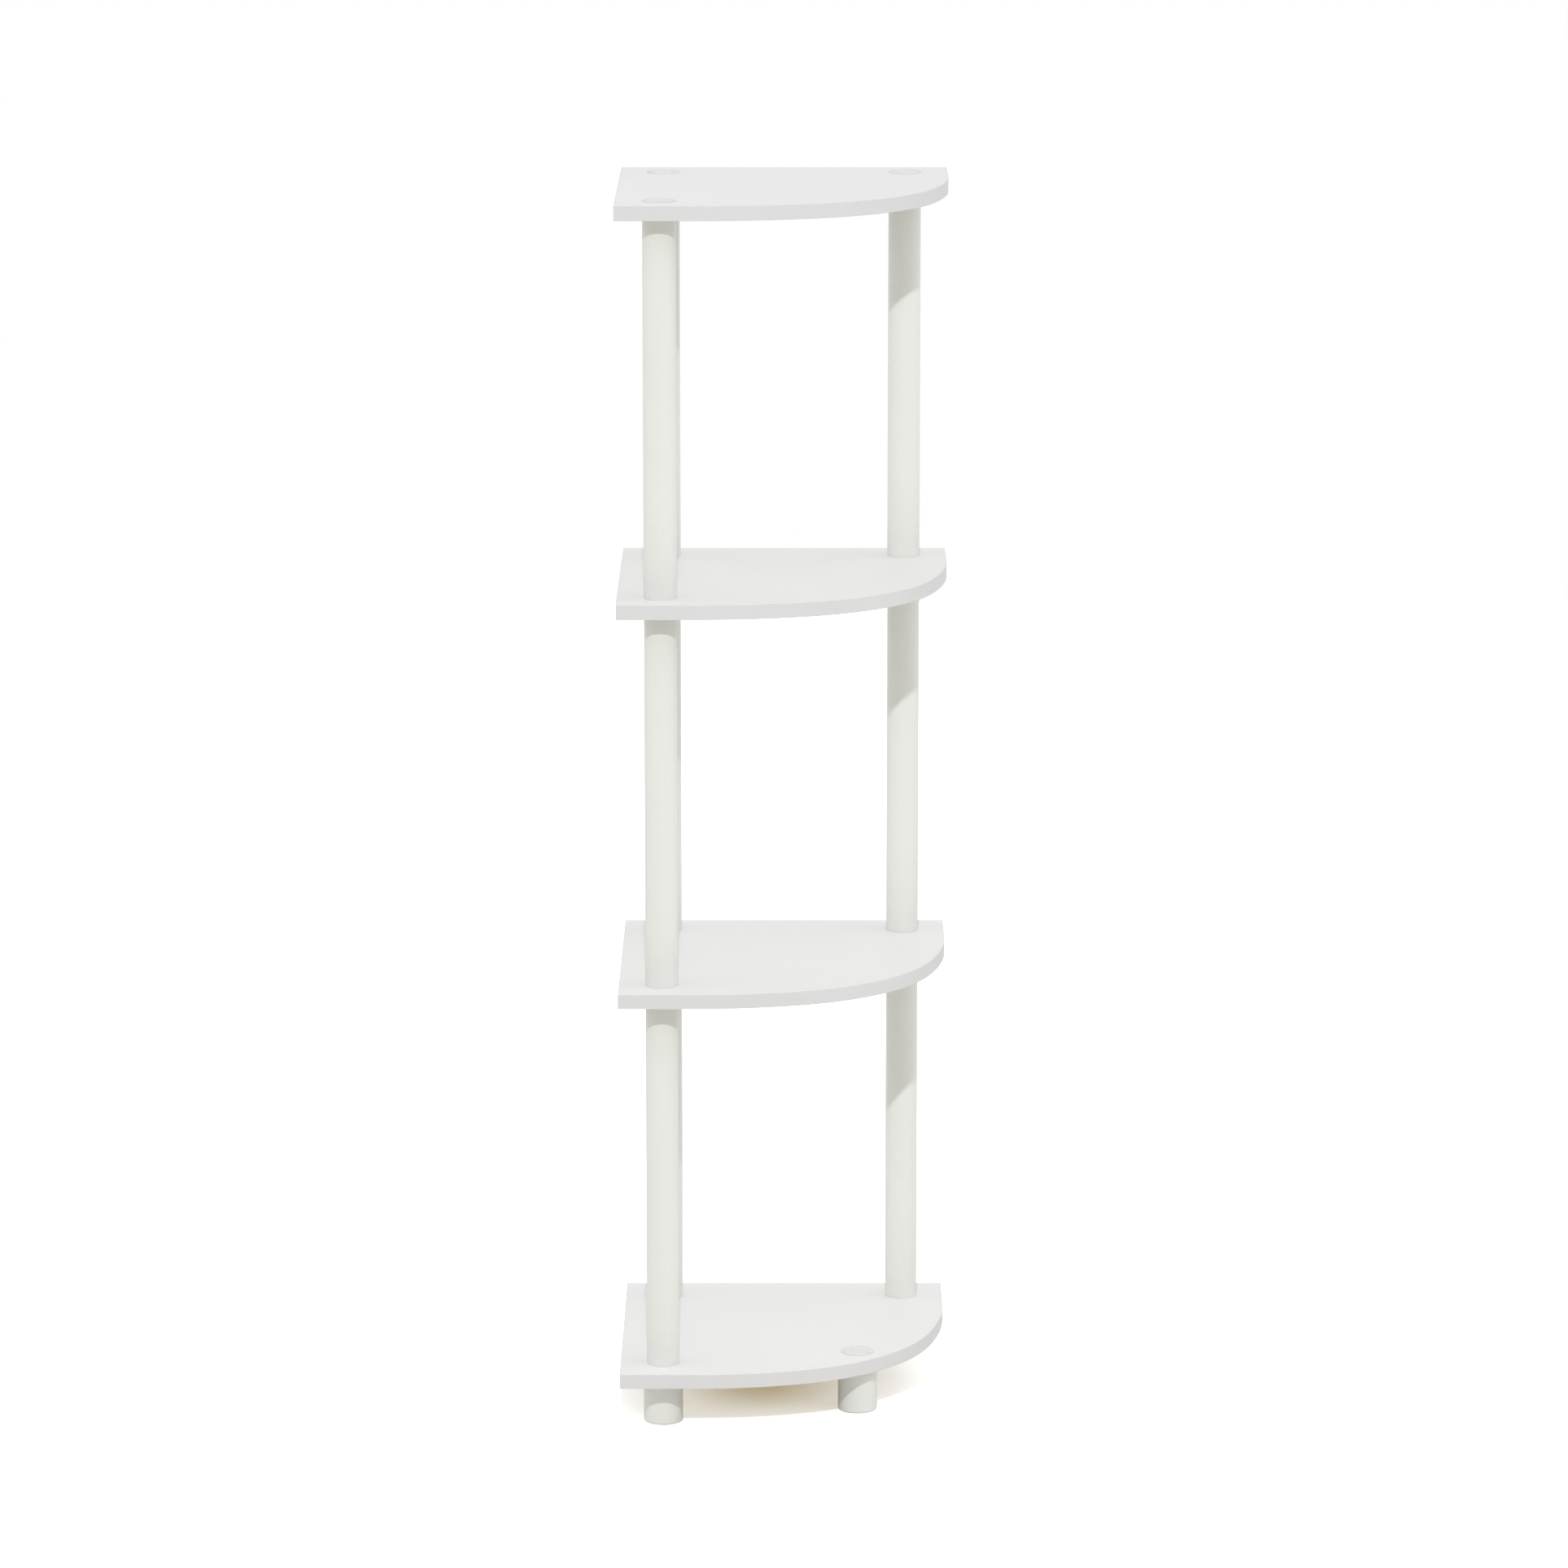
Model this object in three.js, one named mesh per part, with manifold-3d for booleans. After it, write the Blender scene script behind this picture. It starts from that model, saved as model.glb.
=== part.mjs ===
import * as THREE from 'three';
import { mergeVertices, toCreasedNormals } from 'three/addons/utils/BufferGeometryUtils.js';
import Module from 'manifold-3d';

// A corner shelf unit: quarter-round boards stacked on three columns of tubes.
// Millimetres, +Z up. It stands on z = 0 and its plan is centred on the origin.
// The square corner of the boards is at the back left (-X, +Y); the curved edge faces -Y.

// Boards, numbered from the lowest up
const lowestShelf = 1;
const shelfCount = 4;
const shelfSide = 294; // each straight edge, from the square corner to its far end
const boardThickness = 13;
const bandThickness = 1; // edging strip glued round the board
const frontStraight = 69.4; // straight run at each end of the front edge
const flankRadius = 312; // shallow curve that follows each straight run
const noseRadius = 174; // tighter curve between the two shallow ones

// Columns
const columnInset = 38.4; // from a column's axis to each edge beside it
const clearBetweenBoards = 336.5;
const tubeDiameter = 29.2;
const tubeWall = 1.6;

// Plugs pressed into both ends of each tube
const flangeThickness = 1.6; // collar as wide as the tube, between tube and board
const plugDepth = 26; // sleeve inside the tube
const socketWall = 2.2; // sleeve wall
const ribHeight = 1.55; // ribs that centre the sleeve in the tube
const ribThickness = 1.6;
const ribLeadIn = 4; // length of the tapered start of a rib
const ribLeadInDepth = 1; // how far that start is set back
const ribCount = 4;
const ribClearance = 0.25; // from a rib to the tube's bore

// Studs, which screw down through a board into the socket below it
const studEngagement = 20; // length of a stud inside a socket
const studWall = 2.4;
const studTip = 3; // solid end of a hollow stud
const studChamfer = 1.2;
const threadClearance = 0.3; // from a stud to the wall of its socket
const holeClearance = 0.8; // from a stud to the hole in the board

// Screw caps
const capHeight = 1.3; // head above the board
const capMargin = 0.2; // how far the head stays inside the tube's outline
const capEdge = 0.8; // rounding of the head's rim
const capRimWidth = 5; // flat ring round the shallow dish
const capDishDepth = 0.5;

// Feet
const footHeight = 40.5;
const footOverhang = 3; // how far a foot stands out from the tube's outline
const footWall = 2.2;
const footFloor = 3;
const footEdge = 1.5; // rounding where the foot meets the floor
const footBossWall = 2.4;
const footWebThickness = 1.8;
const footWebDrop = 5; // from the foot's mouth down to its webs
const footWebCount = 4;

// The fourth foot, under the curved edge of the lowest board
const frontFootSetback = 26.3; // from the curved edge to the foot's axis
const frontFootDegrees = 47.1; // its direction from the centre of the tighter curve

// Facets
const roundSides = 20;
const holeSides = 16;
const flankSteps = 5;
const noseSteps = 11;
const edgeSteps = 2;
const creaseDegrees = 40;

// Sizes that follow from the ones above
const tubeRadius = tubeDiameter / 2;
const boreRadius = tubeRadius - tubeWall;
const sleeveRadius = boreRadius - ribClearance - ribHeight;
const socketRadius = sleeveRadius - socketWall;
const studRadius = socketRadius - threadClearance;
const studBore = studRadius - studWall;
const studLength = boardThickness + studEngagement;
const holeRadius = studRadius + holeClearance;
const tubeLength = clearBetweenBoards - 2 * flangeThickness;
const tierPitch = clearBetweenBoards + boardThickness;
const capRadius = tubeRadius - capMargin;
const footRadius = tubeRadius + footOverhang;
const footBossRadius = socketRadius + footBossWall;
const footMouthRadius = footRadius - footWall;

// Plan of the front edge, seen from above with the square corner at (0, 0) and the front at -Y.
// Two shallow arcs and a tighter one meet without a kink: the tighter arc's centre lies on the
// diagonal, as far from each shallow arc's centre as the two radii differ.
const frontArcs = planFrontArcs();

function planFrontArcs() {
  const nearReach = frontStraight;
  const farReach = shelfSide - flankRadius;
  const radiusDifference = flankRadius - noseRadius;
  const middle = (nearReach + farReach) / 2;
  const half = (nearReach - farReach) / 2;
  const noseReach = middle + Math.sqrt(radiusDifference ** 2 / 2 - half ** 2);
  const turn = Math.atan2(noseReach - nearReach, noseReach - farReach);
  const ahead = -Math.PI / 2;
  return [
    arcOf(nearReach, -farReach, flankRadius, ahead, ahead + turn, flankSteps),
    arcOf(noseReach, -noseReach, noseRadius, ahead + turn, -turn, noseSteps),
    arcOf(farReach, -nearReach, flankRadius, -turn, 0, flankSteps),
  ];
}

function arcOf(x, y, radius, from, to, steps) {
  return { x, y, radius, from, to, steps };
}

// Points of the front edge from left to right, moved inwards by the inset.
function frontEdgePoints(inset) {
  const points = [new THREE.Vector2(inset, inset - shelfSide)];
  frontArcs.forEach((arc, index) => {
    const radius = arc.radius - inset;
    const curve = new THREE.EllipseCurve(arc.x, arc.y, radius, radius, arc.from, arc.to);
    const samples = curve.getPoints(arc.steps);
    points.push(...(index === 0 ? samples : samples.slice(1)));
  });
  points.push(new THREE.Vector2(shelfSide - inset, -inset));
  return points;
}

// Places in plan
const columns = [
  { name: 'corner', x: columnInset, y: -columnInset },
  { name: 'right', x: shelfSide - columnInset, y: -columnInset },
  { name: 'left', x: columnInset, y: columnInset - shelfSide },
];
const frontFoot = planFrontFoot();

function planFrontFoot() {
  const nose = frontArcs[1];
  const reach = noseRadius - frontFootSetback;
  const angle = THREE.MathUtils.degToRad(frontFootDegrees);
  return { name: 'front', x: nose.x + reach * Math.cos(angle), y: nose.y - reach * Math.sin(angle) };
}

// Materials
const laminate = new THREE.MeshStandardMaterial({ color: 0xececeb, roughness: 0.42, metalness: 0 });
const edging = new THREE.MeshStandardMaterial({ color: 0xe2e2e2, roughness: 0.5, metalness: 0 });
const tubePlastic = new THREE.MeshStandardMaterial({ color: 0xe9eae5, roughness: 0.3, metalness: 0 });
const mouldedPlastic = new THREE.MeshStandardMaterial({ color: 0xe3e5df, roughness: 0.4, metalness: 0 });

// Joining
const wasm = await Module();
wasm.setup();

function solidFrom(geometry) {
  const bare = geometry.clone();
  bare.deleteAttribute('normal');
  bare.deleteAttribute('uv');
  const merged = mergeVertices(bare);
  const index = merged.index.array;
  const corners = [];
  for (let i = 0; i < index.length; i += 3) {
    const [a, b, c] = [index[i], index[i + 1], index[i + 2]];
    const flat = a === b || b === c || c === a;
    if (!flat) corners.push(a, b, c);
  }
  const vertProperties = new Float32Array(merged.attributes.position.array);
  const triVerts = new Uint32Array(corners);
  return new wasm.Manifold(new wasm.Mesh({ numProp: 3, vertProperties, triVerts }));
}

function geometryFrom(solid) {
  const mesh = solid.getMesh();
  const geometry = new THREE.BufferGeometry();
  geometry.setAttribute('position', new THREE.BufferAttribute(mesh.vertProperties, 3));
  geometry.setIndex(new THREE.BufferAttribute(mesh.triVerts, 1));
  return geometry;
}

function joined(geometries) {
  const solids = geometries.map(solidFrom);
  return geometryFrom(solids.reduce((whole, piece) => whole.add(piece)));
}

// Shaping
function revolved(profile, sides) {
  const points = profile.map(([radius, height]) => new THREE.Vector2(radius, height));
  return new THREE.LatheGeometry(points, sides).rotateX(Math.PI / 2);
}

// Points of a rounded outer edge, from below or beside the edge to above or inside it.
function roundedEdge(radius, height, edge, from, to) {
  const quarter = new THREE.EllipseCurve(radius - edge, height, edge, edge, from, to);
  return quarter.getPoints(edgeSteps).map((point) => [point.x, point.y]);
}

// A flat web in the radial plane, drawn as radius and height, repeated round the axis.
function websAround(outline, thickness, count) {
  return Array.from({ length: count }, (_, turn) => {
    const shape = new THREE.Shape(outline.map(([radius, height]) => new THREE.Vector2(radius, height)));
    const web = new THREE.ExtrudeGeometry(shape, { depth: thickness, bevelEnabled: false });
    web.translate(0, 0, -thickness / 2);
    web.rotateX(Math.PI / 2);
    return web.rotateZ((turn * 2 * Math.PI) / count);
  });
}

function slab(points, thickness, holes = []) {
  const shape = new THREE.Shape(points);
  shape.holes = holes;
  return new THREE.ExtrudeGeometry(shape, { depth: thickness, bevelEnabled: false });
}

function pieceOf(name, geometry, material) {
  const creased = toCreasedNormals(geometry, THREE.MathUtils.degToRad(creaseDegrees));
  const mesh = new THREE.Mesh(creased, material);
  mesh.name = name;
  return mesh;
}

// Board panel, drilled for the studs that pass through it
function panelGeometry(places) {
  const outline = [new THREE.Vector2(bandThickness, -bandThickness), ...frontEdgePoints(bandThickness)];
  const holes = places.map(({ x, y }) => {
    const circle = new THREE.EllipseCurve(x, y, holeRadius, holeRadius);
    return new THREE.Path(circle.getPoints(holeSides).slice(1));
  });
  return slab(outline, boardThickness, holes);
}

// Edging strip round the curved front, with its ends over the ends of the two straight strips
function frontBandGeometry() {
  const leftEnd = new THREE.Vector2(0, bandThickness - shelfSide);
  const rightEnd = new THREE.Vector2(shelfSide - bandThickness, 0);
  const inner = frontEdgePoints(bandThickness).reverse();
  return slab([leftEnd, ...frontEdgePoints(0), rightEnd, ...inner], boardThickness);
}

function stripGeometry(left, right, back, front) {
  const outline = [
    new THREE.Vector2(left, back),
    new THREE.Vector2(left, front),
    new THREE.Vector2(right, front),
    new THREE.Vector2(right, back),
  ];
  return slab(outline, boardThickness);
}

function sideBandGeometry() {
  return stripGeometry(0, bandThickness, 0, bandThickness - shelfSide);
}

function backBandGeometry() {
  return stripGeometry(bandThickness, shelfSide - bandThickness, 0, -bandThickness);
}

// Plain tube between two plugs, from its lower end up
function tubeGeometry() {
  const profile = [
    [boreRadius, 0],
    [tubeRadius, 0],
    [tubeRadius, tubeLength],
    [boreRadius, tubeLength],
    [boreRadius, 0],
  ];
  return revolved(profile, roundSides);
}

// Ribs that run along a sleeve from its flange to a tapered start, from height zero up
function sleeveRibs() {
  const root = (socketRadius + sleeveRadius) / 2;
  const crest = boreRadius - ribClearance;
  const outline = [
    [root, 0],
    [crest, 0],
    [crest, plugDepth - ribLeadIn],
    [crest - ribLeadInDepth, plugDepth],
    [root, plugDepth],
  ];
  return websAround(outline, ribThickness, ribCount);
}

// Upper plug: flange and ribbed sleeve with the socket right through it, from the flange's top down
function socketPlugGeometry() {
  const foot = -flangeThickness - plugDepth;
  const profile = [
    [socketRadius, foot],
    [sleeveRadius, foot],
    [sleeveRadius, -flangeThickness],
    [tubeRadius, -flangeThickness],
    [tubeRadius, 0],
    [socketRadius, 0],
    [socketRadius, foot],
  ];
  const ribs = sleeveRibs().map((rib) => rib.rotateX(Math.PI).translate(0, 0, -flangeThickness));
  return joined([revolved(profile, roundSides), ...ribs]);
}

// Lower end of a stud, down to its chamfered tip, from the axis out
function studEnd() {
  return [
    [0, -studLength],
    [studRadius - studChamfer, -studLength],
    [studRadius, studChamfer - studLength],
    [studRadius, 0],
  ];
}

// Lower plug: ribbed sleeve above the flange and hollow stud below it, from the flange's underside
function studPlugGeometry() {
  const top = flangeThickness + plugDepth;
  const profile = [
    ...studEnd(),
    [tubeRadius, 0],
    [tubeRadius, flangeThickness],
    [sleeveRadius, flangeThickness],
    [sleeveRadius, top],
    [socketRadius, top],
    [socketRadius, flangeThickness],
    [studBore, flangeThickness],
    [studBore, studTip - studLength],
    [0, studTip - studLength],
  ];
  const ribs = sleeveRibs().map((rib) => rib.translate(0, 0, flangeThickness));
  return joined([revolved(profile, roundSides), ...ribs]);
}

// Screw cap: low dished head with a rounded rim, on a stud that is open at its lower end
function capGeometry() {
  const dishRadius = capRadius - capRimWidth;
  const dishFloor = capHeight - capDishDepth;
  const profile = [
    [0, 0],
    [studBore, 0],
    [studBore, -studLength],
    [studRadius - studChamfer, -studLength],
    [studRadius, studChamfer - studLength],
    [studRadius, 0],
    [capRadius, 0],
    ...roundedEdge(capRadius, capHeight - capEdge, capEdge, 0, Math.PI / 2),
    [dishRadius, capHeight],
    [dishRadius - capDishDepth, dishFloor],
    [0, dishFloor],
  ];
  return revolved(profile, roundSides);
}

// Foot: cup with a rounded floor edge, and a socket boss held by webs, open at the top
function footGeometry() {
  const profile = [
    [0, 0],
    ...roundedEdge(footRadius, footEdge, footEdge, -Math.PI / 2, 0),
    [footRadius, footHeight],
    [footMouthRadius, footHeight],
    [footMouthRadius, footFloor],
    [footBossRadius, footFloor],
    [footBossRadius, footHeight],
    [socketRadius, footHeight],
    [socketRadius, footFloor],
    [0, footFloor],
  ];
  const inner = (socketRadius + footBossRadius) / 2;
  const outer = (footMouthRadius + footRadius) / 2;
  const webTop = footHeight - footWebDrop;
  const webOutline = [
    [inner, footFloor / 2],
    [outer, footFloor / 2],
    [outer, webTop],
    [inner, webTop],
  ];
  const webs = websAround(webOutline, footWebThickness, footWebCount);
  return joined([revolved(profile, roundSides), ...webs]);
}

// Sub-assemblies
function shelf(number) {
  const group = new THREE.Group();
  const places = number === lowestShelf ? [...columns, frontFoot] : columns;
  group.add(pieceOf(`shelf_${number}_panel`, panelGeometry(places), laminate));
  group.add(pieceOf(`shelf_${number}_front_band`, frontBandGeometry(), edging));
  group.add(pieceOf(`shelf_${number}_side_band`, sideBandGeometry(), edging));
  group.add(pieceOf(`shelf_${number}_back_band`, backBandGeometry(), edging));
  return group;
}

function tier(columnName, number) {
  const group = new THREE.Group();
  const nameOf = (kind) => `${columnName}_${kind}_${number}`;
  const studPlug = pieceOf(nameOf('stud_plug'), studPlugGeometry(), mouldedPlastic);
  const tube = pieceOf(nameOf('tube'), tubeGeometry(), tubePlastic);
  tube.position.z = flangeThickness;
  const socketPlug = pieceOf(nameOf('socket_plug'), socketPlugGeometry(), mouldedPlastic);
  socketPlug.position.z = clearBetweenBoards;
  group.add(studPlug, tube, socketPlug);
  return group;
}

function shelfBase(number) {
  return footHeight + (number - lowestShelf) * tierPitch;
}

function column({ name, x, y }) {
  const group = new THREE.Group();
  group.position.set(x, y, 0);
  group.add(pieceOf(`${name}_foot`, footGeometry(), mouldedPlastic));
  for (let number = lowestShelf; number < shelfCount; number += 1) {
    const tubeTier = tier(name, number);
    tubeTier.position.z = shelfBase(number) + boardThickness;
    group.add(tubeTier);
  }
  const cap = pieceOf(`${name}_cap`, capGeometry(), mouldedPlastic);
  cap.position.z = shelfBase(shelfCount) + boardThickness;
  group.add(cap);
  return group;
}

// The front foot has no tube above it, so a cap on the lowest board holds it
function cappedFoot({ name, x, y }) {
  const group = new THREE.Group();
  group.position.set(x, y, 0);
  const cap = pieceOf(`${name}_cap`, capGeometry(), mouldedPlastic);
  cap.position.z = shelfBase(lowestShelf) + boardThickness;
  group.add(pieceOf(`${name}_foot`, footGeometry(), mouldedPlastic), cap);
  return group;
}

const cornerShelfUnit = new THREE.Group();
cornerShelfUnit.position.set(-shelfSide / 2, shelfSide / 2, 0);
for (let number = lowestShelf; number <= shelfCount; number += 1) {
  const board = shelf(number);
  board.position.z = shelfBase(number);
  cornerShelfUnit.add(board);
}
columns.forEach((place) => cornerShelfUnit.add(column(place)));
cornerShelfUnit.add(cappedFoot(frontFoot));

export default cornerShelfUnit;
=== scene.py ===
import math

import bmesh
import bpy
import numpy as np
from mathutils.geometry import tessellate_polygon
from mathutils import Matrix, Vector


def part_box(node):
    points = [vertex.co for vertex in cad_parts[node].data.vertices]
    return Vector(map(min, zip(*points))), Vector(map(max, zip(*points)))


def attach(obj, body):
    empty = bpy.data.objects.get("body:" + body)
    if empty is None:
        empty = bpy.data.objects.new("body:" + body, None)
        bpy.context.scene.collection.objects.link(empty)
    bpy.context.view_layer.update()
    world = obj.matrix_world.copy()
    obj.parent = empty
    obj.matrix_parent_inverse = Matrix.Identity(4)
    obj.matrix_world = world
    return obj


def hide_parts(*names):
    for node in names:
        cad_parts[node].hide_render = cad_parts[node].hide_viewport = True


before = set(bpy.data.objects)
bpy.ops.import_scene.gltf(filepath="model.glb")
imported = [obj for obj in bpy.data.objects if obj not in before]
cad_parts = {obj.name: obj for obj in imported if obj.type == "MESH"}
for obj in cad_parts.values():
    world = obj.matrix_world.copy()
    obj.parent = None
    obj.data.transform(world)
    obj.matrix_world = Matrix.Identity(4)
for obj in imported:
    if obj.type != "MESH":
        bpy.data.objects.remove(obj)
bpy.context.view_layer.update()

# Every size below is in metres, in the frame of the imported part: +Z up, curved edge towards -Y.

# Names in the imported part
BODY = "root"
COLUMNS = ("corner", "right", "left")
CAPPED_PLACES = (*COLUMNS, "front")
panel_nodes = [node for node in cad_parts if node.endswith("_panel")]
BOARD_NUMBERS = sorted(int(node.split("_")[1]) for node in panel_nodes)
LOWEST_BOARD = BOARD_NUMBERS[0]
HIGHEST_BOARD = BOARD_NUMBERS[-1]


def radius_of(node):
    low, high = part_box(node)
    return (high.x - low.x) / 2


def centre_of(node):
    low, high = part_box(node)
    return ((low.x + high.x) / 2, (low.y + high.y) / 2)


# Sizes read from the frame
first_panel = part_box("shelf_1_panel")
first_front_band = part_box("shelf_1_front_band")
SHELF_SIDE = first_front_band[1].x - first_front_band[0].x
CORNER_X = first_front_band[0].x
CORNER_Y = first_front_band[1].y
BAND = first_panel[0].x - first_front_band[0].x
TUBE_RADIUS = radius_of("corner_tube_1")
FOOT_RADIUS = radius_of("corner_foot")
CAP_RADIUS = radius_of("corner_cap")
CAP_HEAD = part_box("corner_cap")[1].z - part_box(f"shelf_{HIGHEST_BOARD}_panel")[1].z
STUD_LENGTH = first_panel[1].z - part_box("corner_stud_plug_1")[0].z
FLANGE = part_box("corner_tube_1")[0].z - first_panel[1].z

# Curves of the front edge
FRONT_STRAIGHT = 0.0694
FLANK_RADIUS = 0.312
NOSE_RADIUS = 0.174
FLANK_STEPS = 28
NOSE_STEPS = 56

# Tubes and plugs
TUBE_BORE = 0.013
SLEEVE_RADIUS = 0.0112
SOCKET_RADIUS = 0.009
STUD_RADIUS = 0.0087
STUD_BORE = 0.0063
STUD_TIP = 0.003
STUD_CHAMFER = 0.0012
HOLE_RADIUS = 0.0095
RIB_CREST = 0.01275
RIB_THICKNESS = 0.0016
RIB_LEAD_IN = 0.004
RIB_LEAD_IN_DEPTH = 0.001

# Caps and feet
CAP_RIM_WIDTH = 0.005
CAP_DISH_DEPTH = 0.0005
CAP_EDGE = 0.0006
CAP_UNDERCUT = 0.00035
FOOT_MOUTH_RADIUS = 0.0154
FOOT_BOSS_RADIUS = 0.0114
FOOT_FLOOR = 0.003
FOOT_EDGE = 0.0015
FOOT_WEB_THICKNESS = 0.0018
FOOT_WEB_DROP = 0.005

# Steps round a piece, and the spokes that some pieces have: a plug's ribs or a foot's webs
ROUND_STEPS = 72
SPOKE_COUNT = 4

# Digits that angles are rounded to, so that equal ones merge, and slack for comparing values
ANGLE_DIGITS = 6
ANGLE_SLACK = 1e-5
HEIGHT_SLACK = 1e-6

# Screw thread
THREAD_PITCH = 0.0038
THREAD_DEPTH = 0.0009
THREAD_ROOT_SHARE = 0.14
THREAD_FLANK_SHARE = 0.18
THREAD_STEPS_PER_PITCH = 7
THREAD_LEAST_STEPS = 2
THREAD_RUN_OUT = 0.003
THREAD_GAP = SOCKET_RADIUS - STUD_RADIUS

# Small roundings, and the narrow strip kept on each side of them, where their wear fades out
BAND_EDGE = 0.0003
PANEL_EDGE = 0.00012
PLASTIC_EDGE = 0.00025
SEAM_EDGE = 0.0001
HOLE_EDGE = 0.0003
GUARD = 0.0004
CAP_GUARD = 0.0001
ROUNDING_STEPS = 4
SHARP_ANGLE = math.radians(38)

# Painted shade that darkens the tubes towards their lower and upper ends, as (distance from that
# end, share), and dust on the caps' heads
FOOT_PAINTED_SHADE = ((0.014, 1.0), (0.028, 0.6), (0.048, 0.25), (0.08, 0.0))
HEAD_PAINTED_SHADE = ((0.01, 0.9), (0.03, 0.4), (0.06, 0.0))
CAP_SOIL = 0.35


# Mesh building
class Solid:
    """A mesh put together from rows of points.

    Faces with a tag get their own material. Each point carries two marks which the finishes read:
    wear, 1 on the rounded corners that hands and cloths rub, and a second one, 1 where dust gathers
    on the caps and where shade is painted at the tube ends and their flanges.
    """

    def __init__(self):
        self.points = []
        self.wear = []
        self.soil_and_shade = []
        self.faces = []
        self.tags = []
        self.curved = []

    def row(self, points, wear=0.0, soil_and_shade=0.0):
        first = len(self.points)
        self.points.extend(tuple(point) for point in points)
        count = len(self.points) - first
        self.wear.extend([wear] * count)
        self.soil_and_shade.extend([soil_and_shade] * count)
        return list(range(first, len(self.points)))

    def face(self, corners, tag=0, curved=True):
        self.faces.append(tuple(corners))
        self.tags.append(tag)
        self.curved.append(curved)

    def strip(self, first, second, closed=True, tag=0):
        """Faces between two rows, one of which may be a single point."""
        count = max(len(first), len(second))
        for i in range(count if closed else count - 1):
            j = (i + 1) % count
            if len(first) == 1:
                self.face((first[0], second[j], second[i]), tag)
            elif len(second) == 1:
                self.face((first[i], first[j], second[0]), tag)
            else:
                self.face((first[i], first[j], second[j], second[i]), tag)

    def strips(self, rows, tag=0):
        """Closed strips from each row to the next."""
        for first, second in zip(rows, rows[1:]):
            self.strip(first, second, tag=tag)

    def flat(self, outline, holes=(), tag=0):
        """A flat face inside the outline row, with holes."""
        rows = [outline, *holes]
        numbers = [number for row in rows for number in row]
        loops = [[self.points[number] for number in row] for row in rows]
        for triangle in tessellate_polygon(loops):
            self.face([numbers[corner] for corner in triangle], tag, curved=False)

    def piece(self, name, materials):
        mesh = bpy.data.meshes.new(name)
        mesh.from_pydata(self.points, [], self.faces)
        for material in materials:
            mesh.materials.append(material)
        mesh.polygons.foreach_set("material_index", self.tags)
        mesh.attributes.new("wear", "FLOAT", "POINT").data.foreach_set("value", self.wear)
        mesh.attributes.new("soil_and_shade", "FLOAT", "POINT").data.foreach_set("value", self.soil_and_shade)
        mesh.validate()
        face_outwards(mesh)
        mesh.set_sharp_from_angle(angle=SHARP_ANGLE)
        mesh.polygons.foreach_set("use_smooth", self.curved)
        return add_object(name, mesh)


def face_outwards(mesh):
    work = bmesh.new()
    work.from_mesh(mesh)
    bmesh.ops.recalc_face_normals(work, faces=work.faces)
    work.to_mesh(mesh)
    work.free()


def add_object(name, data):
    thing = bpy.data.objects.new(name, data)
    bpy.context.scene.collection.objects.link(thing)
    return thing


def dress(thing, node):
    """Makes a piece stand for its CAD node."""
    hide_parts(node)
    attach(thing, BODY)


# Unit steps of a section, across and up
MORE, LESS, UP = (1, 0), (-1, 0), (0, 1)


def rounded(corner, arrive, leave, radius, guard=GUARD):
    """A rounded corner of a section as (across, height, wear) points.

    The section arrives at the corner and leaves it along two unit steps.
    """
    corner, arrive, leave = np.array(corner), np.array(arrive), np.array(leave)
    centre = corner + (leave - arrive) * radius
    points = [(*(corner - arrive * (radius + guard)), 0.0)]
    for turn in np.linspace(0, math.pi / 2, ROUNDING_STEPS + 1):
        spot = centre + radius * (arrive * math.sin(turn) - leave * math.cos(turn))
        points.append((*spot, 1.0))
    points.append((*(corner + leave * (radius + guard)), 0.0))
    return points


# Node trees. The Mix node has sockets for each kind of value: these are the numbers for colours.
MIX_SHARE, MIX_FIRST, MIX_SECOND = 0, 6, 7
MIX_RESULT = 2


class Nodes:
    """A node tree, with short calls for what several trees share."""

    def __init__(self, tree):
        self.tree = tree

    def feed(self, socket, value):
        """Gives a socket another node's output, or a value of its own."""
        if isinstance(value, bpy.types.NodeSocket):
            self.tree.links.new(value, socket)
        else:
            socket.default_value = value

    def node(self, kind, inputs=None, **settings):
        node = self.tree.nodes.new(kind)
        for key, value in settings.items():
            setattr(node, key, value)
        for key, value in (inputs or {}).items():
            self.feed(node.inputs[key], value)
        return node

    def compute(self, operation, *values):
        inputs = dict(enumerate(values))
        return self.node("ShaderNodeMath", inputs, operation=operation).outputs[0]

    def blend(self, share, first, second):
        inputs = {MIX_SHARE: share, MIX_FIRST: first, MIX_SECOND: second}
        return self.node("ShaderNodeMix", inputs, data_type="RGBA").outputs[MIX_RESULT]

    def ramp(self, value, stops):
        """Colours at rising values, blended from one to the next."""
        node = self.node("ShaderNodeValToRGB", {"Fac": value})
        elements = node.color_ramp.elements
        while len(elements) < len(stops):
            elements.new(1)
        for element, (position, colour) in zip(elements, stops):
            element.position = position
            element.color = colour
        return node.outputs["Color"]

    def seen_rays(self):
        """1 for what the camera sees, straight or reflected, and 0 for light that a surface gets."""
        path = self.node("ShaderNodeLightPath")
        return self.compute("MAXIMUM", path.outputs["Is Camera Ray"], path.outputs["Is Glossy Ray"])


# Patterns. A scale is in features per metre, and a span is the part of a pattern's range in use.
NOISE_SPAN = (0.3, 0.7)
WEAR_SCALE = 130
WEAR_SPAN = (0.42, 0.62)
SOIL_AND_SHADE_SCALE = 40
SOIL_AND_SHADE_SHARES = (0.34, 0.5)
FLAKE_SPAN = (0, 0.7)
GAP_SPAN = (0.5, 0.75)

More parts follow.
